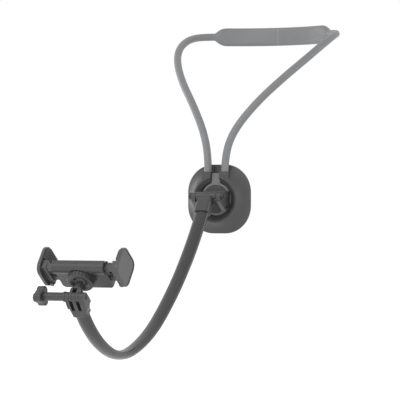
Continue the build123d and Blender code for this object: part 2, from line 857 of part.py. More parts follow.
def gear_outline():
    """Involute gear, one tooth centred on the first axis."""
    base_r = pitch_r * cos(radians(pressure_angle))
    tip_r = pitch_r + tooth_tip
    root_r = pitch_r - tooth_root
    pitch_roll = tan(radians(pressure_angle))
    half_tooth = (pi / 2 * gear_module - backlash) / 2 / pitch_r
    start = half_tooth + pitch_roll - radians(pressure_angle)
    tip_roll = ((tip_r / base_r) ** 2 - 1) ** 0.5
    steps = 5
    upper = [involute_point(base_r, tip_roll * i / steps, -start) for i in range(steps + 1)]
    lower = [(x, -y) for x, y in reversed(upper)]
    root_low = (root_r * cos(start), -root_r * sin(start))
    root_high = (root_r * cos(start), root_r * sin(start))
    outline = Circle(root_r)
    inside = (root_r - 0.6, 0)
    tooth = make_face(Polyline(inside, root_low, *upper, *lower, root_high, inside))
    for index in range(gear_teeth):
        outline += Rot(0, 0, 360 * index / gear_teeth) * tooth
    return outline


def sync_gear():
    """Gear that keeps the jaws centred: its tooth stands up at rest."""
    low = rack_low
    gear = extrude(clamp.offset(low) * Rot(0, 0, 90) * gear_outline(), amount=gear_thick)
    return gear - disc(clamp, gear_pin_r + pin_gap, 0, front_high + 1)


def gear_spring():
    """Flat spiral spring that pulls the jaws together through the gear."""
    turns = 5
    step = 0.24
    radius = gear_pin_r + 0.55
    point = Vector(radius, 0)
    wire = []
    for index in range(turns):
        sign = 1 if index % 2 == 0 else -1
        arc = JernArc(point, (0, sign), radius, 180)
        wire.append(arc)
        point = arc @ 1
        radius += step
    strip = trace(Curve(wire), line_width=0.16)
    return extrude(clamp.offset(rack_low + gear_thick + 0.05) * strip, amount=0.5)


def rack_outline():
    """Rack with straight flanks over its pitch line and a space at the middle."""
    pitch = pi * gear_module
    lean = tan(radians(pressure_angle))
    half = (pitch / 2 - backlash) / 2
    tip, root = pitch_r - tooth_tip, pitch_r + tooth_root
    base = make_face(Polyline(
        (-rack_inner, root),
        (rack_arm_start, root),
        (rack_arm_start, rack_arm_near),
        (block_inner + 1, rack_arm_near),
        (block_inner + 1, rack_back),
        (-rack_inner, rack_back),
        (-rack_inner, root),
    ))
    for index in range(rack_teeth):
        centre = (index - rack_first + 0.5) * pitch
        base += make_face(Polyline(
            (centre - half - lean * tooth_root, root + 0.2),
            (centre - half + lean * tooth_tip, tip),
            (centre + half - lean * tooth_tip, tip),
            (centre + half + lean * tooth_root, root + 0.2),
            (centre - half - lean * tooth_root, root + 0.2),
        ))
    return base


def jaw(side):
    """One jaw in one moulding: end plate, block, rail, lower tongue, hook and rack."""
    start = Plane(origin=at(clamp, jaw_face, 0, 0), x_dir=clamp_up, z_dir=(1, 0, 0))
    plate = extrude(start * RectangleRounded(2 * jaw_half, 2 * jaw_half, jaw_corner), amount=jaw_thick)
    plate = fillet(plate.faces().sort_by(Axis.X)[-1].edges(), jaw_bevel)
    inner = 2 * (jaw_half - jaw_rim)
    recess = start.offset(jaw_thick - jaw_recess) * RectangleRounded(inner, inner, jaw_corner - jaw_rim)
    body = plate - extrude(recess, amount=jaw_recess)
    body += slab(
        clamp, block_inner, jaw_face + 0.2, block_low, block_high, block_front, block_back, 1.2,
    )
    for near, u_low, u_high, z_low, z_high in jaw_ways():
        body += slab(clamp, near, block_inner + 1.5, u_low, u_high, z_low, z_high)
    body += disc(clamp, hook_r, hook_low, hook_high, hook_x, hook_u)
    x_dir = (1, 0, 0)
    if side < 0:
        body = mirror(body, about=Plane.YZ)
        x_dir = (-1, 0, 0)
    tooth_side = Plane(origin=clamp_face, x_dir=x_dir, z_dir=clamp_normal).offset(rack_low)
    return body + extrude(tooth_side * rack_outline(), amount=rack_high - rack_low)


def grip(side):
    """Soft ribbed pad on the inside of a jaw, over the device's edge."""
    start = Plane(origin=at(clamp, jaw_face - grip_thick, 0, 0), x_dir=clamp_up, z_dir=(1, 0, 0))
    size = 2 * (jaw_half - grip_edge)
    pad = extrude(start * RectangleRounded(size, size, jaw_corner - grip_edge), amount=grip_thick)
    pad = fillet(pad.faces().sort_by(Axis.X)[0].edges(), 0.7)
    pad -= slab(clamp, 0, 60, -40, 40, grip_back, 40)
    if side < 0:
        pad = mirror(pad, about=Plane.YZ)
    return pad


def save(name, *solids):
    kept = []
    for item in solids:
        kept.extend(item.solids())
    export_step(Compound(children=kept) if len(kept) > 1 else kept[0], f"parts/{name}.step")


save("neck_loop", neck_loop())
save("chest_shell", chest_shell())
save("back_plate", back_plate())
save("back_cushion", back_cushion())
save("plate_screws", *plate_screws())
save("hub_ring", hub_ring())
save("turntable", turntable())
save("friction_washer", friction_washer())
save("pivot_screw", pivot_screw())
save("hinge_bolt", hinge_bolt())
save("hinge_nut", hinge_nut())
save("arm_head", arm_head())
save("gooseneck", gooseneck())
save("arm_fork", arm_fork())
save("fork_nut", fork_nut())
save("thumb_knob", thumb_knob())
save("thumb_bolt", thumb_bolt())
save("thumb_washer", thumb_washer())
save("ball_stem", ball_stem())
save("ball_liner", ball_liner())
save("lock_collar", lock_collar())
save("clamp_back_shell", clamp_back_shell())
save("clamp_front_shell", clamp_front_shell())
save("shell_screws", *shell_screws())
save("face_pad", face_pad())
save("sync_gear", sync_gear())
save("gear_spring", gear_spring())
save("jaw_right", jaw(1))
save("jaw_left", jaw(-1))
save("grip_right", grip(1))
save("grip_left", grip(-1))
print("lower hinge", lower_axis, "end heading", end_heading)
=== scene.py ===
import math

import bmesh
import bpy
from mathutils import Matrix, Vector

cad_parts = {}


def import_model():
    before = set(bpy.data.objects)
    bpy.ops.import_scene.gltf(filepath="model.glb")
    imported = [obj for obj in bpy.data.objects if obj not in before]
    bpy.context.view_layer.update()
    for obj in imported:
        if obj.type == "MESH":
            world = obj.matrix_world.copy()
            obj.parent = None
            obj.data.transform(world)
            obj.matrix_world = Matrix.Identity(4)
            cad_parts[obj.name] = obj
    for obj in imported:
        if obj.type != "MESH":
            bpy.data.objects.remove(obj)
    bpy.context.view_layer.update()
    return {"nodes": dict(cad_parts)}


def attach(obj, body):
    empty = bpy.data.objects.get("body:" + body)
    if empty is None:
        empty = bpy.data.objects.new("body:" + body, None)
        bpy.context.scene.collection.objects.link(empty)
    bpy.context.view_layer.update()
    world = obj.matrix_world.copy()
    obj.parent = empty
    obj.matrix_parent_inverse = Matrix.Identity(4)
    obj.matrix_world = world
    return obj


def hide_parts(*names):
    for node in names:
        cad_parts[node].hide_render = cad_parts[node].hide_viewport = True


# Looks of a neck-worn holder: grey soft loop, dark chest pad with a light ring, bendable arm,
# fork with a thumb screw, ball joint and a clamp with two jaws. All lengths are in metres.

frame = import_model()
nodes = frame["nodes"]

# Places shared with the CAD model
HUB = Vector((0, -0.159, -0.180))
UPPER_HINGE = HUB + Vector((0, -0.035, 0.003))

# Camera: degrees round from the front, its place, and focal length per picture width
CAMERA_TURN = 24.0
CAMERA_PLACE = HUB + Vector((0.99724, -2.29259, -0.00105))
CAMERA_FOCAL = 2388 / 400
SENSOR_WIDTH = 36.0

# Neck loop and its nape pad
LOOP_RADIUS = 0.004
NAPE_THICK = 0.0086
NAPE_HEIGHT = 0.020
NAPE_CORNER = 0.0038
NAPE_RADIUS = 0.105
NAPE_REACH = 0.056
NAPE_MIDDLE = NAPE_RADIUS + NAPE_THICK / 2
NAPE_HALF_ANGLE = math.asin(NAPE_REACH / NAPE_MIDDLE)
SHOULDER_LENGTH = 0.0155
# Each ring's share of the way, its share of the pad's extra height, and its own size,
# where the last two sink into the tube
SHOULDER_RINGS = (
    (0.12, 0.99, 1), (0.28, 0.93, 1), (0.45, 0.79, 1), (0.62, 0.53, 1), (0.78, 0.22, 1),
    (0.9, 0.05, 0.93), (1, 0, 0.82),
)
SEAM_WIDTH = 0.0007
SEAM_DEPTH = 0.0003
# Painted highlight: how much paler the colour is painted along the seam groove
SEAM_PAINTED_HIGHLIGHT = 1.45
NAPE_RINGS = 40
PAD_END = Vector((NAPE_REACH, NAPE_MIDDLE * math.cos(NAPE_HALF_ANGLE) - NAPE_RADIUS, 0))
PAD_ALONG = Vector((math.cos(NAPE_HALF_ANGLE), -math.sin(NAPE_HALF_ANGLE), 0))
LOOP_TIP = PAD_END + PAD_ALONG * SHOULDER_LENGTH
LOOP_ROUTE = [
    LOOP_TIP - PAD_ALONG * 0.003,
    LOOP_TIP + PAD_ALONG * 0.013,
    HUB + Vector((0.0855, 0.108, 0.1755)),
    HUB + Vector((0.084, 0.080, 0.1645)),
    HUB + Vector((0.075, 0.054, 0.148)),
    HUB + Vector((0.057, 0.028, 0.125)),
    HUB + Vector((0.036, 0.0095, 0.100)),
    HUB + Vector((0.017, -0.0055, 0.071)),
    HUB + Vector((0.0094, -0.0105, 0.045)),
    HUB + Vector((0.0094, -0.0105, 0.0218)),
]

# Bendable arm: its first heading in degrees above level, and each bend's radius and turn
ARM_HEADING = -54.4
ARM_WIDTH = 0.0148
ARM_DEPTH = 0.0092
ARM_SEAT = 0.011
SOCKET_LENGTH = 0.022
ARM_STRAIGHT = 0.027
FORK_SEAT = 0.014
ARM_BENDS = [(0.430, 19.9), (0.188, 20.9), (0.088, 34.5), (0.126, 27.0)]
ARM_FACETS = 56
DEGREES_PER_RING = 1.2

# Chest cushion: width, height and corner, then its thickness and pressed border line
CUSHION_SIZE = (0.0698, 0.0708, 0.0284)
CUSHION_THICK = 0.002
CUSHION_EDGE = 0.0009
BORDER_MARGIN = 0.0022
BORDER_WIDTH = 0.0006
BORDER_DEPTH = 0.0005

# Clamp: its own directions and the place of its face, then grips and face pad
CLAMP_LEAN = 52.0
FACE_TO_HINGE = 0.0345
LOWER_HINGE = Vector((0, -0.49389, -0.270151))
CLAMP_OUT = Vector((0, -math.cos(math.radians(CLAMP_LEAN)), -math.sin(math.radians(CLAMP_LEAN))))
CLAMP_UP = Vector((0, CLAMP_OUT.z, -CLAMP_OUT.y))
CLAMP_FACE = LOWER_HINGE - CLAMP_OUT * FACE_TO_HINGE
JAW_FACE = 0.0384
GRIP_THICK = 0.0026
GRIP_BACK = 0.001
GRIP_HALF = 0.0140
GRIP_CORNER = 0.0068
GRIP_RIB = 0.0006
GRIP_EDGE = 0.0005
GRIP_RIB_STEP = 0.0029
GRIP_RIB_WIDTH = 0.0017
GRIP_RIB_MARGIN = 0.0032
GRIP_RIBS = 8
RIB_SUNK = 0.0002
RIB_CORNER = 0.42
RIB_EDGE = 0.28
FACE_PAD_SIZE = (0.042, 0.017, 0.003)
FACE_PAD_THICK = 0.0012
FACE_PAD_EDGE = 0.0003
FACE_RIBS = 5
FACE_RIB_STEP = 0.0031
FACE_RIB_WIDTH = 0.0019
FACE_RIB_MARGIN = 0.005

# Vertices that are one, vertices that lie on a plane, and the sharpest edge shaded smooth
SAME_PLACE = 0.00001
ON_PLANE = 0.00002
SMOOTH_ANGLE = math.radians(35)

# Moulded surface: patches and specks per metre, the part of each noise that shows, the gloss
# that patches and dust change, and how strongly the grain and its cells stand out
CLOUDS_PER_METRE = 95.0
SPECKS_PER_METRE = 2600.0
CLOUD_SPAN = (0.3, 0.7)
SPECK_SPAN = (0.66, 0.78)
CLOUD_GLOSS = (-0.05, 0.07)
DUST_DULLNESS = 0.4
CELLS_PER_GRAIN = 0.6
CELL_RELIEF = 0.5
RELIEF_STRENGTH = 0.6
SHEEN_SPREAD = 0.4

# Floor under the object, how brightly floor and room show, and where the lamps point
FLOOR_SIZE = 14
FLOOR_LEVEL = -0.47
FLOOR_GLOW = 0.75
ROOM_LIGHT = 0.5
LIT_MIDDLE = (0, -0.26, -0.2)


# Modelling helpers

def deselect():
    if bpy.context.object and bpy.context.object.mode != "OBJECT":
        bpy.ops.object.mode_set(mode="OBJECT")
    bpy.ops.object.select_all(action="DESELECT")


def choose(obj):
    """Makes a piece the active one, with nothing else selected."""
    deselect()
    obj.select_set(True)
    bpy.context.view_layer.objects.active = obj


def plane_matrix(origin, right, up):
    """Matrix that carries a piece made flat on the floor to its own place."""
    right, up = Vector(right).normalized(), Vector(up).normalized()
    out = right.cross(up)
    turn = Matrix((right, up, out)).transposed().to_4x4()
    return Matrix.Translation(Vector(origin)) @ turn


def settle(obj, name, place=None):
    """Puts a finished piece's place into its mesh and names it."""
    choose(obj)
    if place is not None:
        obj.matrix_world = place @ obj.matrix_world
    bpy.ops.object.transform_apply(location=True, rotation=True, scale=True)
    obj.name = name
    obj.data.name = name


def mirror(obj, name):
    """Turns a finished piece into its mirror image on the other side."""
    settle(obj, name, Matrix.Scale(-1, 4, (1, 0, 0)))
    bpy.ops.object.mode_set(mode="EDIT")
    bpy.ops.mesh.select_all(action="SELECT")
    bpy.ops.mesh.flip_normals()
    bpy.ops.object.mode_set(mode="OBJECT")


def pick(mesh, kind, keep):
    """Selects the vertices, edges or faces whose corners all pass a test, in edit mode."""
    bpy.ops.mesh.select_all(action="DESELECT")
    bpy.ops.mesh.select_mode(type=kind)
    edit = bmesh.from_edit_mesh(mesh)
    items = {"VERT": edit.verts, "EDGE": edit.edges, "FACE": edit.faces}[kind]
    for item in items:
        corners = [item] if kind == "VERT" else item.verts
        item.select = all(keep(corner.co) for corner in corners)
    edit.select_flush_mode()
    bmesh.update_edit_mesh(mesh)


def rounded_plate(width, height, corner, steps=6):
    """Flat plate with rounded corners, left in edit mode with its face selected."""
    deselect()
    bpy.ops.mesh.primitive_plane_add(size=1)
    obj = bpy.context.object
    obj.scale = (width, height, 1)
    bpy.ops.object.transform_apply(location=True, rotation=True, scale=True)
    bpy.ops.object.mode_set(mode="EDIT")
    bpy.ops.mesh.select_all(action="SELECT")
    bpy.ops.mesh.bevel(offset=corner, segments=steps, affect="VERTICES")
    bpy.ops.mesh.select_all(action="SELECT")
    return obj


def rounded_slab(width, height, corner, thick, bevel, steps=6):
    """Slab with rounded corners and a soft upper edge, from the floor up."""
    obj = rounded_plate(width, height, corner, steps)
    bpy.ops.mesh.extrude_region_move(TRANSFORM_OT_translate={"value": (0, 0, thick)})
    pick(obj.data, "EDGE", lambda point: point.z > thick / 2)
    bpy.ops.mesh.bevel(offset=bevel, segments=4, affect="EDGES")
    bpy.ops.mesh.select_all(action="SELECT")
    bpy.ops.mesh.normals_make_consistent(inside=False)
    bpy.ops.object.mode_set(mode="OBJECT")
    return obj


def join(name, parts):
    deselect()
    for part in parts:
        part.select_set(True)
    bpy.context.view_layer.objects.active = parts[0]
    bpy.ops.object.join()
    parts[0].name = name
    return parts[0]


def dress(obj, finish, body, *replaced):
    """Finish, smooth shading, the body it rides on and the CAD nodes it stands for."""
    choose(obj)
    bpy.ops.object.shade_smooth_by_angle(angle=SMOOTH_ANGLE)
    obj.data.materials.clear()
    obj.data.materials.append(finish)
    if replaced:
        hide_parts(*replaced)
    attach(obj, body)


# Materials

def new_group(name, inputs, outputs):
    group = bpy.data.node_groups.new(name, "ShaderNodeTree")
    for label, kind, value in inputs:
        socket = group.interface.new_socket(name=label, in_out="INPUT", socket_type=kind)
        if value is not None:
            socket.default_value = value
    for label, kind in outputs:
        group.interface.new_socket(name=label, in_out="OUTPUT", socket_type=kind)
    return group, group.nodes.new("NodeGroupInput"), group.nodes.new("NodeGroupOutput")


def add_node(tree, kind, **values):
    node = tree.nodes.new(kind)
    for name, value in values.items():
        if name in node.inputs:
            node.inputs[name].default_value = value
        else:
            setattr(node, name, value)
    return node


def math_node(tree, operation, first, second):
    node = tree.nodes.new("ShaderNodeMath")
    node.operation = operation
    for socket, value in zip(node.inputs, (first, second)):
        if hasattr(value, "links"):
            tree.links.new(value, socket)
        else:
            socket.default_value = value
    return node.outputs[0]


def spread(tree, source, low, high, to_low, to_high):
    node = tree.nodes.new("ShaderNodeMapRange")
    tree.links.new(source, node.inputs["Value"])
    limits = {"From Min": low, "From Max": high, "To Min": to_low, "To Max": to_high}
    for name, value in limits.items():
        if hasattr(value, "links"):
            tree.links.new(value, node.inputs[name])
        else:
            node.inputs[name].default_value = value
    return node.outputs[0]


def tinted(tree, base, factor):
    """Base colour made lighter or darker by a factor."""
    node = tree.nodes.new("ShaderNodeVectorMath")
    node.operation = "SCALE"
    tree.links.new(base, node.inputs[0])
    tree.links.new(factor, node.inputs["Scale"])
    return node.outputs[0]


def moulded_surface():
    """Spark-eroded grain of a moulded part, with cloudy gloss and a little dust."""
    group, start, end = new_group(
        "moulded_surface",
        [
            ("Vector", "NodeSocketVector", None),
            ("Colour", "NodeSocketColor", (0.1, 0.1, 0.1, 1)),
            ("Gloss", "NodeSocketFloat", 0.5),
            ("Grain size", "NodeSocketFloat", 0.0004),
            ("Cloud", "NodeSocketFloat", 0.12),
            ("Dust", "NodeSocketFloat", 0.1),
        ],
        [
            ("Colour", "NodeSocketColor"),
            ("Roughness", "NodeSocketFloat"),
            ("Height", "NodeSocketFloat"),
        ],
    )
    inverse = math_node(group, "DIVIDE", 1.0, start.outputs["Grain size"])
    grain = add_node(group, "ShaderNodeTexNoise", Detail=3.0, Roughness=0.6)
    group.links.new(start.outputs["Vector"], grain.inputs["Vector"])
    group.links.new(inverse, grain.inputs["Scale"])
    cells = add_node(group, "ShaderNodeTexVoronoi")
    group.links.new(start.outputs["Vector"], cells.inputs["Vector"])
    group.links.new(math_node(group, "MULTIPLY", inverse, CELLS_PER_GRAIN), cells.inputs["Scale"])
    cloud = add_node(
        group, "ShaderNodeTexNoise", Scale=CLOUDS_PER_METRE, Detail=4.0, Roughness=0.55)
    group.links.new(start.outputs["Vector"], cloud.inputs["Vector"])
    specks = add_node(group, "ShaderNodeTexNoise", Scale=SPECKS_PER_METRE, Detail=1.0)
    group.links.new(start.outputs["Vector"], specks.inputs["Vector"])
    dust = spread(group, specks.outputs["Fac"], *SPECK_SPAN, 0.0, start.outputs["Dust"])
    low = math_node(group, "SUBTRACT", 1.0, start.outputs["Cloud"])
    high = math_node(group, "ADD", 1.0, start.outputs["Cloud"])
    shade = spread(group, cloud.outputs["Fac"], *CLOUD_SPAN, low, high)
    factor = math_node(group, "ADD", shade, dust)
    group.links.new(tinted(group, start.outputs["Colour"], factor), end.inputs["Colour"])
    patch = spread(group, cloud.outputs["Fac"], *CLOUD_SPAN, *CLOUD_GLOSS)
    rough = math_node(group, "ADD", start.outputs["Gloss"], patch)
    dull = math_node(group, "MULTIPLY", dust, DUST_DULLNESS)
    group.links.new(math_node(group, "ADD", rough, dull), end.inputs["Roughness"])
    bumps = math_node(group, "MULTIPLY", cells.outputs["Distance"], CELL_RELIEF)
    group.links.new(math_node(group, "ADD", grain.outputs["Fac"], bumps), end.inputs["Height"])
    return group


MOULDED = moulded_surface()


def material(name, colour, gloss, grain, bump, cloud, dust, metal=0.0, sheen=0.0):
    """Finish made of the moulded surface: grain and bump are in metres, the rest are shares."""
    mat = bpy.data.materials.new(name)
    mat.use_nodes = True
    tree = mat.node_tree
    shader = tree.nodes["Principled BSDF"]
    place = tree.nodes.new("ShaderNodeTexCoord")
    surface = tree.nodes.new("ShaderNodeGroup")
    surface.node_tree = MOULDED
    values = {"Colour": (*colour, 1), "Gloss": gloss, "Grain size": grain}
    values.update({"Cloud": cloud, "Dust": dust})
    for label, value in values.items():
        surface.inputs[label].default_value = value
    tree.links.new(place.outputs["Object"], surface.inputs["Vector"])
    tree.links.new(surface.outputs["Colour"], shader.inputs["Base Color"])
    tree.links.new(surface.outputs["Roughness"], shader.inputs["Roughness"])
    relief = tree.nodes.new("ShaderNodeBump")
    relief.inputs["Strength"].default_value = RELIEF_STRENGTH
    relief.inputs["Distance"].default_value = bump
    tree.links.new(surface.outputs["Height"], relief.inputs["Height"])
    tree.links.new(relief.outputs["Normal"], shader.inputs["Normal"])
    shader.inputs["Metallic"].default_value = metal
    shader.inputs["Sheen Weight"].default_value = sheen
    shader.inputs["Sheen Roughness"].default_value = SHEEN_SPREAD
    return mat


# Each finish: colour, gloss, grain size, height of the grain, cloudiness and dust
grey_silicone = material(
    "grey_silicone", (0.235, 0.238, 0.246), 0.46, 0.0005, 0.00001, 0.02, 0.03, sheen=0.05)
pad_plastic = material("pad_plastic", (0.062, 0.062, 0.064), 0.48, 0.0005, 0.00004, 0.04, 0.08)
disc_plastic = material("disc_plastic", (0.058, 0.058, 0.060), 0.36, 0.0005, 0.00004, 0.05, 0.08)
ring_plastic = material("ring_plastic", (0.185, 0.187, 0.191), 0.34, 0.0006, 0.00002, 0.03, 0.05)
joint_plastic = material("joint_plastic", (0.050, 0.050, 0.052), 0.36, 0.0005, 0.00004, 0.06, 0.1)
clamp_plastic = material("clamp_plastic", (0.052, 0.052, 0.054), 0.38, 0.0005, 0.00004, 0.06, 0.1)
jaw_plastic = material("jaw_plastic", (0.078, 0.078, 0.080), 0.38, 0.0006, 0.00004, 0.05, 0.08)
soft_rubber = material(
    "soft_rubber", (0.034, 0.034, 0.035), 0.62, 0.0006, 0.00005, 0.12, 0.2, sheen=0.1)
arm_rubber = material("arm_rubber", (0.037, 0.037, 0.039), 0.29, 0.0007, 0.00001, 0.03, 0.03)
chest_foam = material(
    "chest_foam", (0.030, 0.030, 0.031), 0.8, 0.0009, 0.0001, 0.15, 0.25, sheen=0.2)
bright_steel = material("bright_steel", (0.56, 0.56, 0.57), 0.28, 0.0012, 0.00001, 0.05, 0.0, 1.0)
black_steel = material("black_steel", (0.05, 0.05, 0.052), 0.45, 0.0012, 0.00002, 0.08, 0.05, 0.6)
pale_nylon = material("pale_nylon", (0.62, 0.60, 0.56), 0.45, 0.0008, 0.00002, 0.05, 0.05)


def seam_painted_highlight(mat):
    """Painted highlight: a paler line painted into the colour along the parting-line groove
    across the middle of the nape pad.
    """
    tree = mat.node_tree
    place = add_node(tree, "ShaderNodeTexCoord")
    split = add_node(tree, "ShaderNodeSeparateXYZ")
    tree.links.new(place.outputs["Object"], split.inputs[0])
    away = math_node(tree, "ABSOLUTE", split.outputs["X"], 0.0)
    factor = spread(tree, away, 0.5 * SEAM_WIDTH, SEAM_WIDTH, SEAM_PAINTED_HIGHLIGHT, 1.0)
    shader = tree.nodes["Principled BSDF"]
    colour = shader.inputs["Base Color"].links[0].from_socket
    tree.links.new(tinted(tree, colour, factor), shader.inputs["Base Color"])


seam_painted_highlight(grey_silicone)

FINISHES = {
    "neck_loop": grey_silicone,
    "chest_shell": pad_plastic,
    "back_plate": pad_plastic,
    "back_cushion": chest_foam,
    "plate_screws": bright_steel,
    "hub_ring": ring_plastic,
    "turntable": disc_plastic,
    "friction_washer": bright_steel,
    "pivot_screw": bright_steel,
    "hinge_bolt": black_steel,
    "hinge_nut": black_steel,
    "arm_head": joint_plastic,
    "gooseneck": arm_rubber,
    "arm_fork": joint_plastic,
    "fork_nut": black_steel,
    "thumb_knob": joint_plastic,
    "thumb_bolt": black_steel,
    "thumb_washer": joint_plastic,
    "ball_stem": joint_plastic,
    "ball_liner": pale_nylon,
    "lock_collar": joint_plastic,
    "clamp_back_shell": clamp_plastic,
    "clamp_front_shell": clamp_plastic,
    "shell_screws": bright_steel,
    "face_pad": soft_rubber,
    "sync_gear": pale_nylon,
    "gear_spring": bright_steel,
    "jaw_right": jaw_plastic,
    "jaw_left": jaw_plastic,
    "grip_right": soft_rubber,
    "grip_left": soft_rubber,
}

for name, finish in FINISHES.items():
    mesh = nodes[name].data
    mesh.materials.clear()
    mesh.materials.append(finish)


# Neck loop

def loop_tube():
    """Right-hand tube of the loop along its smooth route."""
    data = bpy.data.curves.new("loop_tube", "CURVE")
    data.dimensions = "3D"
    spline = data.splines.new("NURBS")
    spline.points.add(len(LOOP_ROUTE) - 1)
    for point, place in zip(spline.points, LOOP_ROUTE):
        point.co = (*place, 1)
    spline.order_u = 3
    spline.use_endpoint_u = True
    data.resolution_u = 14
    data.bevel_depth = LOOP_RADIUS
    data.bevel_resolution = 12
    data.use_fill_caps = True
    tube = bpy.data.objects.new("loop_tube", data)
    bpy.context.collection.objects.link(tube)
    choose(tube)
    bpy.ops.object.convert(target="MESH")
    return bpy.context.object


def nape_pad():
    """Wide curved pad: its section is spun round the neck and drawn in at both ends."""
    pad = rounded_plate(NAPE_THICK, NAPE_HEIGHT, NAPE_CORNER)
    bpy.ops.object.mode_set(mode="OBJECT")
    out = Vector((math.sin(NAPE_HALF_ANGLE), math.cos(NAPE_HALF_ANGLE), 0))
    settle(pad, "nape_pad", plane_matrix(PAD_END, out, (0, 0, 1)))
    bpy.ops.object.mode_set(mode="EDIT")
    bpy.ops.mesh.select_all(action="SELECT")
    neck = (0, -NAPE_RADIUS, 0)
    bpy.ops.mesh.spin(steps=NAPE_RINGS, angle=-2 * NAPE_HALF_ANGLE, center=neck, axis=(0, 0, 1))
    bpy.ops.mesh.select_all(action="SELECT")
    bpy.ops.mesh.remove_doubles(threshold=SAME_PLACE)
    press_seam(pad)
    for side in (1, -1):
        draw_in(pad, side)
    bpy.ops.mesh.select_all(action="SELECT")
    bpy.ops.mesh.normals_make_consistent(inside=False)
    bpy.ops.object.mode_set(mode="OBJECT")
    return pad


def press_seam(pad):
    """Shallow groove of the mould's parting line at the middle of the pad."""
    pick(pad.data, "EDGE", lambda point: abs(point.x) < ON_PLANE)
    bpy.ops.mesh.bevel(offset=SEAM_WIDTH / 2, segments=2, affect="EDGES")
    pick(pad.data, "VERT", lambda point: abs(point.x) < ON_PLANE)
    bpy.ops.transform.resize(
        value=(1, 1 - 2 * SEAM_DEPTH / NAPE_THICK, 1 - 2 * SEAM_DEPTH / NAPE_HEIGHT),
        center_override=(0, NAPE_THICK / 2, 0),
    )


def draw_in(pad, side):
    """Shoulder at one end of the pad: rings drawn out and made smaller down to the tube."""
    along = Vector((side * PAD_ALONG.x, PAD_ALONG.y, 0))
    end = Vector((side * PAD_END.x, PAD_END.y, 0))
    pick(pad.data, "FACE", lambda point: abs((point - end).dot(along)) < ON_PLANE)
    height, thick = NAPE_HEIGHT, NAPE_THICK
    done = 0
    for share, rise, fit in SHOULDER_RINGS:
        new_height = (2 * LOOP_RADIUS + (NAPE_HEIGHT - 2 * LOOP_RADIUS) * rise) * fit
        new_thick = (NAPE_THICK + (2 * LOOP_RADIUS - NAPE_THICK) * share) * fit
        step = along * (share - done) * SHOULDER_LENGTH
        bpy.ops.mesh.extrude_region_move(TRANSFORM_OT_translate={"value": tuple(step)})
        sideways = new_thick / thick
        bpy.ops.transform.resize(
            value=(sideways, sideways, new_height / height),
            center_override=tuple(end + along * share * SHOULDER_LENGTH),
        )
        height, thick, done = new_height, new_thick, share


def neck_loop():
    right = loop_tube()
    left = right.copy()
    left.data = right.data.copy()
    bpy.context.collection.objects.link(left)
    mirror(left, "left_tube")
    loop = join("soft_neck_loop", [nape_pad(), right, left])
    dress(loop, grey_silicone, "neck_frame", "neck_loop")


# Bendable arm

def arm_direction(heading):
    return Vector((0, -math.cos(math.radians(heading)), math.sin(math.radians(heading))))


def arm_sleeve():
    """Oval sleeve: its section is pushed along the straight ends and spun through each bend."""
    deselect()
    bpy.ops.mesh.primitive_circle_add(vertices=ARM_FACETS, radius=0.5, fill_type="NGON")
    sleeve = bpy.context.object
    sleeve.scale = (ARM_WIDTH, ARM_DEPTH, 1)
    heading = ARM_HEADING
    direction = arm_direction(heading)
    place = UPPER_HINGE + direction * ARM_SEAT
    settle(sleeve, "soft_arm", plane_matrix(place, (1, 0, 0), direction.cross(Vector((1, 0, 0)))))
    bpy.ops.object.mode_set(mode="EDIT")
    bpy.ops.mesh.select_all(action="SELECT")
    run = direction * (SOCKET_LENGTH - ARM_SEAT)
    bpy.ops.mesh.extrude_region_move(TRANSFORM_OT_translate={"value": tuple(run)})
    place += run
    for radius, turn in ARM_BENDS:
        inward = arm_direction(heading + 90)
        middle = place + inward * radius
        steps = max(6, round(turn / DEGREES_PER_RING))
        bpy.ops.mesh.spin(
            steps=steps, angle=math.radians(turn), center=tuple(middle), axis=(1, 0, 0))
        heading += turn
        place = middle - arm_direction(heading + 90) * radius
    run = arm_direction(heading) * (ARM_STRAIGHT - FORK_SEAT)
    bpy.ops.mesh.extrude_region_move(TRANSFORM_OT_translate={"value": tuple(run)})
    bpy.ops.mesh.select_all(action="SELECT")
    bpy.ops.mesh.remove_doubles(threshold=SAME_PLACE)
    bpy.ops.mesh.normals_make_consistent(inside=False)
    bpy.ops.object.mode_set(mode="OBJECT")
    dress(sleeve, arm_rubber, "arm", "gooseneck")


# Soft sheets and grips

def chest_cushion():
    """Soft sheet on the back of the chest pad, with a pressed border line."""
    width, height, corner = CUSHION_SIZE
    sheet = rounded_slab(width, height, corner, CUSHION_THICK, CUSHION_EDGE, 12)
    bpy.ops.object.mode_set(mode="EDIT")
    pick(sheet.data, "FACE", lambda point: point.z > CUSHION_THICK - SAME_PLACE)
    bpy.ops.mesh.inset(thickness=BORDER_MARGIN, depth=0)
    bpy.ops.mesh.inset(thickness=BORDER_WIDTH, depth=-BORDER_DEPTH)
    bpy.ops.mesh.inset(thickness=BORDER_WIDTH, depth=BORDER_DEPTH)
    bpy.ops.object.mode_set(mode="OBJECT")
    front = HUB - Vector((0, CUSHION_THICK, 0))
    settle(sheet, "soft_chest_cushion", plane_matrix(front, (-1, 0, 0), (0, 0, 1)))
    dress(sheet, chest_foam, "neck_frame", "back_cushion")


def ribs(count, step, length, width, thick):
    """Row of soft ribs along the first direction, side by side on the floor."""
    made = []
    for index in range(count):
        rib = rounded_slab(length, width, width * RIB_CORNER, thick, width * RIB_EDGE, 3)
        settle(rib, "rib", Matrix.Translation((0, (index - (count - 1) / 2) * step, 0)))
        made.append(rib)
    return made


def clamp_place(x, up, out, right, top):
    """Place in the clamp's own directions for a piece made flat on the floor."""
    point = CLAMP_FACE + Vector((x, 0, 0)) + CLAMP_UP * up + CLAMP_OUT * out
    return plane_matrix(point, right, top)


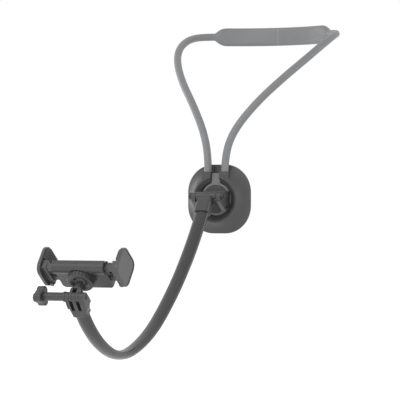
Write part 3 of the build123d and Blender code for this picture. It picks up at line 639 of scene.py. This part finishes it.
def clamp_face_pad():
    """Ribbed rubber sheet in the middle of the clamp's face."""
    width, height, corner = FACE_PAD_SIZE
    base = FACE_PAD_THICK - GRIP_RIB
    parts = [rounded_slab(width, height, corner, base + RIB_SUNK, FACE_PAD_EDGE, 5)]
    for rib in ribs(FACE_RIBS, FACE_RIB_STEP, width - FACE_RIB_MARGIN, FACE_RIB_WIDTH, GRIP_RIB):
        settle(rib, "rib", Matrix.Translation((0, 0, base)))
        parts.append(rib)
    whole = join("soft_face_pad", parts)
    settle(whole, "soft_face_pad", clamp_place(0, 0, 0, (-1, 0, 0), CLAMP_UP))
    dress(whole, soft_rubber, "clamp_body", "face_pad")


def jaw_grip(name, body, node, flip):
    """Soft pad inside a jaw, cut off behind and ribbed from back to front."""
    size = 2 * GRIP_HALF
    base = GRIP_THICK - GRIP_RIB
    pad = rounded_slab(size, size, GRIP_CORNER, base, GRIP_EDGE, 8)
    bpy.ops.object.mode_set(mode="EDIT")
    bpy.ops.mesh.select_all(action="SELECT")
    cut = (GRIP_BACK, 0, 0)
    bpy.ops.mesh.bisect(plane_co=cut, plane_no=(1, 0, 0), use_fill=True, clear_outer=True)
    bpy.ops.object.mode_set(mode="OBJECT")
    length = GRIP_HALF + GRIP_BACK
    parts = [pad]
    rib_place = Matrix.Translation((GRIP_BACK - length / 2, 0, base - RIB_SUNK))
    rib_length = length - GRIP_RIB_MARGIN
    rib_height = GRIP_RIB + RIB_SUNK
    for rib in ribs(GRIP_RIBS, GRIP_RIB_STEP, rib_length, GRIP_RIB_WIDTH, rib_height):
        settle(rib, "rib", rib_place)
        parts.append(rib)
    grip = join(name, parts)
    settle(grip, name, clamp_place(JAW_FACE, 0, 0, CLAMP_OUT, CLAMP_UP))
    if flip:
        mirror(grip, name)
    dress(grip, soft_rubber, body, node)


neck_loop()
arm_sleeve()
chest_cushion()
clamp_face_pad()
jaw_grip("soft_grip_right", "right_slider", "grip_right", False)
jaw_grip("soft_grip_left", "left_slider", "grip_left", True)


# Camera, floor and light

def camera():
    data = bpy.data.cameras.new("camera")
    data.sensor_width = SENSOR_WIDTH
    data.lens = SENSOR_WIDTH * CAMERA_FOCAL
    data.clip_end = 20.0
    seen = bpy.data.objects.new("camera", data)
    bpy.context.collection.objects.link(seen)
    seen.location = CAMERA_PLACE
    seen.rotation_euler = (math.radians(90), 0, math.radians(CAMERA_TURN))
    bpy.context.scene.camera = seen


def seen_rays(tree):
    """One for the rays that show the background: straight, mirrored or through a clear piece."""
    path = tree.nodes.new("ShaderNodeLightPath")
    camera_ray, glossy_ray = path.outputs["Is Camera Ray"], path.outputs["Is Glossy Ray"]
    seen = math_node(tree, "MAXIMUM", camera_ray, glossy_ray)
    return math_node(tree, "MAXIMUM", seen, path.outputs["Is Transmission Ray"])


def background_material():
    """Pale floor that the camera sees as white, a shadow apart."""
    mat = bpy.data.materials.new("studio_floor")
    mat.use_nodes = True
    tree = mat.node_tree
    tree.nodes.clear()
    out = tree.nodes.new("ShaderNodeOutputMaterial")
    diffuse = tree.nodes.new("ShaderNodeBsdfDiffuse")
    diffuse.inputs["Color"].default_value = (0.8, 0.8, 0.8, 1)
    glow = tree.nodes.new("ShaderNodeEmission")
    strength = math_node(tree, "MULTIPLY", seen_rays(tree), FLOOR_GLOW)
    tree.links.new(strength, glow.inputs["Strength"])
    both = tree.nodes.new("ShaderNodeAddShader")
    tree.links.new(diffuse.outputs[0], both.inputs[0])
    tree.links.new(glow.outputs[0], both.inputs[1])
    tree.links.new(both.outputs[0], out.inputs["Surface"])
    return mat


def floor():
    deselect()
    bpy.ops.mesh.primitive_plane_add(size=FLOOR_SIZE, location=(0, 0, FLOOR_LEVEL))
    plane = bpy.context.object
    plane.name = "studio_floor"
    bpy.ops.object.transform_apply(location=True, rotation=True, scale=True)
    plane.data.materials.append(background_material())


def lamp(name, place, target, size, power):
    data = bpy.data.lights.new(name, "AREA")
    data.shape = "DISK"
    data.size = size
    data.energy = power
    light = bpy.data.objects.new(name, data)
    bpy.context.collection.objects.link(light)
    light.location = place
    light.rotation_euler = (Vector(target) - Vector(place)).to_track_quat("-Z", "Y").to_euler()


def world():
    scene = bpy.context.scene
    sky = bpy.data.worlds.new("studio")
    scene.world = sky
    sky.use_nodes = True
    tree = sky.node_tree
    back = tree.nodes["Background"]
    strength = spread(tree, seen_rays(tree), 0.0, 1.0, ROOM_LIGHT, 1.0)
    tree.links.new(strength, back.inputs["Strength"])
    back.inputs["Color"].default_value = (1, 1, 1, 1)
    scene.view_settings.view_transform = "Standard"


camera()
floor()
world()
for lamp_name, place, size, power in (
    ("key", (-0.4, -2.2, 1.4), 1.6, 19),
    ("low_fill", (0.5, -2.3, -0.3), 1.6, 11),
    ("left_edge", (-1.9, 0.1, 0.0), 1.4, 12),
    ("right_edge", (2.1, 0.6, 0.3), 1.2, 9),
):
    lamp(lamp_name, place, LIT_MIDDLE, size, power)
